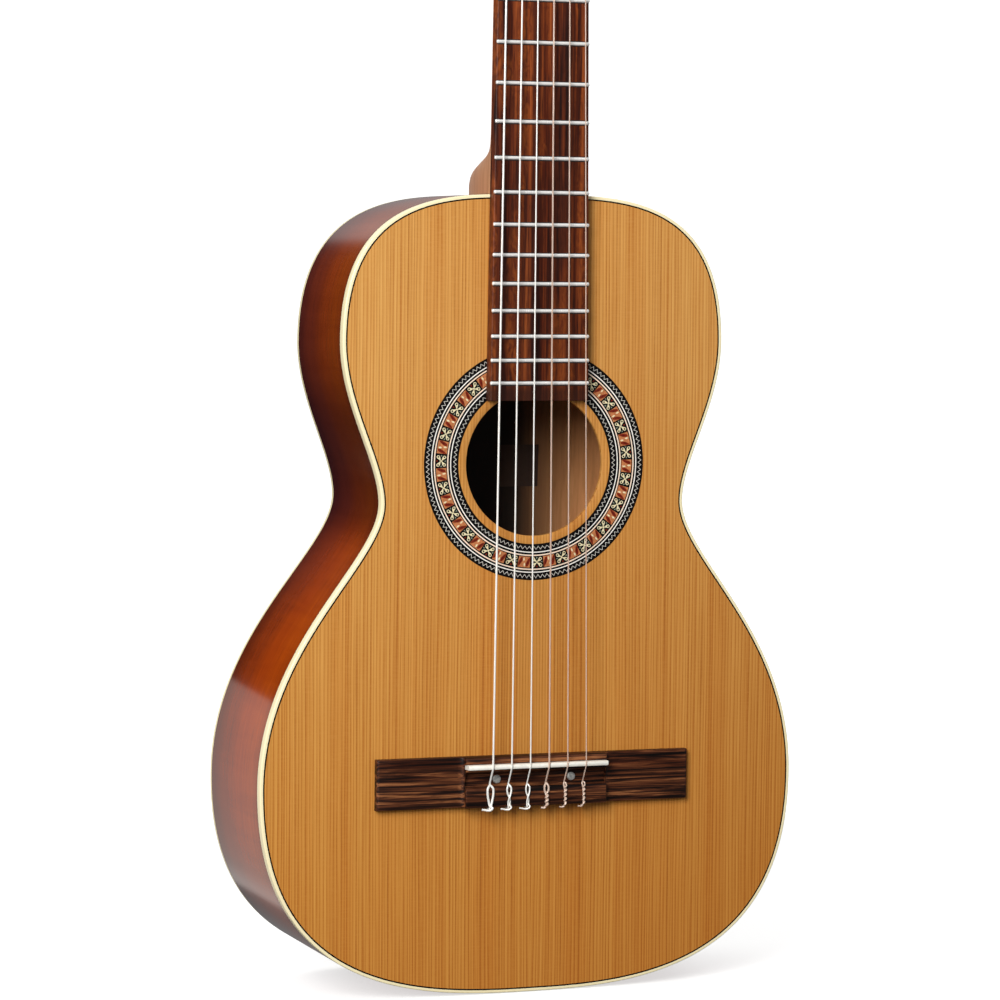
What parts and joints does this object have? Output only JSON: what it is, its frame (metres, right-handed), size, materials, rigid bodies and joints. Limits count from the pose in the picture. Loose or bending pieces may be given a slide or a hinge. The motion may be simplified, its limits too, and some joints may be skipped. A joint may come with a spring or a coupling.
{
  "type": "classical guitar",
  "caption": "Classical guitar with a cedar top, red-brown sunburst sides, cream binding, mosaic rosette, rosewood fingerboard and bridge, and a slotted head with geared tuners that turn.",
  "frame": {"origin": "bottom centre of the bounding box: the tail of the body at z = 0, on the centre line of the neck", "axes": "+Z from the tail to the head, +X to the treble side, -Y out of the soundboard towards the strings"},
  "size_m": [0.325, 0.1226, 0.9673],
  "materials": {
    "soundboard": "glossy lacquered cedar with fine vertical grain",
    "sides_and_back": "high gloss red-brown sunburst",
    "binding": "gloss cream",
    "rosette": "inlaid mosaic under lacquer",
    "braces": "bare wood",
    "neck": "satin lacquered pale maple",
    "rosewood": "oiled, streaked red-brown",
    "bone": "polished ivory colour",
    "fret_wire": "polished nickel silver",
    "bolt_caps": "grey pearl",
    "plain_strings": "clear nylon",
    "wound_strings": "silver-plated winding",
    "tuner_plates": "polished",
    "tuner_buttons": "pearl",
    "string_rollers": "ivory colour with a brass wheel"
  },
  "bodies": {
    "guitar": {"soundboard": "soundboard", "rib_bass": "sides_and_back", "rib_treble": "sides_and_back", "back_plate": "sides_and_back", "top_binding": "binding", "back_binding": "binding", "rosette": "rosette", "lining_bass": "braces", "lining_treble": "braces", "harmonic_bar_upper": "braces", "fan_bracing": "braces", "back_bracing": "braces", "neck": "neck", "tail_block": "neck", "fingerboard": "rosewood", "bridge": "rosewood", "head_veneer": "rosewood", "nut": "bone", "saddle": "bone", "fret_01": "fret_wire", "fret_02": "fret_wire", "fret_03": "fret_wire", "fret_04": "fret_wire", "fret_05": "fret_wire", "fret_06": "fret_wire", "fret_07": "fret_wire", "fret_08": "fret_wire", "fret_09": "fret_wire", "fret_10": "fret_wire", "fret_11": "fret_wire", "fret_12": "fret_wire", "fret_13": "fret_wire", "fret_14": "fret_wire", "fret_15": "fret_wire", "fret_16": "fret_wire", "fret_17": "fret_wire", "fret_18": "fret_wire", "fret_19": "fret_wire", "bolt_cap_bass": "bolt_caps", "bolt_cap_treble": "bolt_caps", "string_1": "plain_strings", "string_2": "plain_strings", "string_3": "plain_strings", "string_4": "wound_strings", "string_5": "wound_strings", "string_6": "wound_strings", "tuner_plate_bass": "tuner_plates", "tuner_plate_treble": "tuner_plates"},
    "key_1": {"tuner_key_1": "tuner_buttons"},
    "roller_1": {"string_roller_1": "string_rollers"},
    "key_2": {"tuner_key_2": "tuner_buttons"},
    "roller_2": {"string_roller_2": "string_rollers"},
    "key_3": {"tuner_key_3": "tuner_buttons"},
    "roller_3": {"string_roller_3": "string_rollers"},
    "key_4": {"tuner_key_4": "tuner_buttons"},
    "roller_4": {"string_roller_4": "string_rollers"},
    "key_5": {"tuner_key_5": "tuner_buttons"},
    "roller_5": {"string_roller_5": "string_rollers"},
    "key_6": {"tuner_key_6": "tuner_buttons"},
    "roller_6": {"string_roller_6": "string_rollers"}
  },
  "joints": [
    {"name": "key_1_turn", "type": "hinge", "parent": "guitar", "child": "key_1", "pos_m": [0.0414, -0.02587, 0.83783], "axis": [0, -0.9659, 0.2588], "continuous": true},
    {"name": "roller_1_turn", "type": "hinge", "parent": "guitar", "child": "roller_1", "pos_m": [0.023, -0.02794, 0.83011], "axis": [1, 0, 0], "continuous": true},
    {"name": "key_2_turn", "type": "hinge", "parent": "guitar", "child": "key_2", "pos_m": [0.0414, -0.01681, 0.87164], "axis": [0, -0.9659, 0.2588], "continuous": true},
    {"name": "roller_2_turn", "type": "hinge", "parent": "guitar", "child": "roller_2", "pos_m": [0.023, -0.01888, 0.86391], "axis": [1, 0, 0], "continuous": true},
    {"name": "key_3_turn", "type": "hinge", "parent": "guitar", "child": "key_3", "pos_m": [0.0414, -0.00775, 0.90545], "axis": [0, -0.9659, 0.2588], "continuous": true},
    {"name": "roller_3_turn", "type": "hinge", "parent": "guitar", "child": "roller_3", "pos_m": [0.023, -0.00983, 0.89772], "axis": [1, 0, 0], "continuous": true},
    {"name": "key_4_turn", "type": "hinge", "parent": "guitar", "child": "key_4", "pos_m": [-0.0414, -0.00775, 0.90545], "axis": [0, -0.9659, 0.2588], "continuous": true},
    {"name": "roller_4_turn", "type": "hinge", "parent": "guitar", "child": "roller_4", "pos_m": [-0.023, -0.00983, 0.89772], "axis": [1, 0, 0], "continuous": true},
    {"name": "key_5_turn", "type": "hinge", "parent": "guitar", "child": "key_5", "pos_m": [-0.0414, -0.01681, 0.87164], "axis": [0, -0.9659, 0.2588], "continuous": true},
    {"name": "roller_5_turn", "type": "hinge", "parent": "guitar", "child": "roller_5", "pos_m": [-0.023, -0.01888, 0.86391], "axis": [1, 0, 0], "continuous": true},
    {"name": "key_6_turn", "type": "hinge", "parent": "guitar", "child": "key_6", "pos_m": [-0.0414, -0.02587, 0.83783], "axis": [0, -0.9659, 0.2588], "continuous": true},
    {"name": "roller_6_turn", "type": "hinge", "parent": "guitar", "child": "roller_6", "pos_m": [-0.023, -0.02794, 0.83011], "axis": [1, 0, 0], "continuous": true}
  ],
  "couplings": [
    {"joint": "roller_1_turn", "follows": "key_1_turn", "ratio": -0.071429},
    {"joint": "roller_2_turn", "follows": "key_2_turn", "ratio": -0.071429},
    {"joint": "roller_3_turn", "follows": "key_3_turn", "ratio": -0.071429},
    {"joint": "roller_4_turn", "follows": "key_4_turn", "ratio": 0.071429},
    {"joint": "roller_5_turn", "follows": "key_5_turn", "ratio": 0.071429},
    {"joint": "roller_6_turn", "follows": "key_6_turn", "ratio": 0.071429}
  ]
}
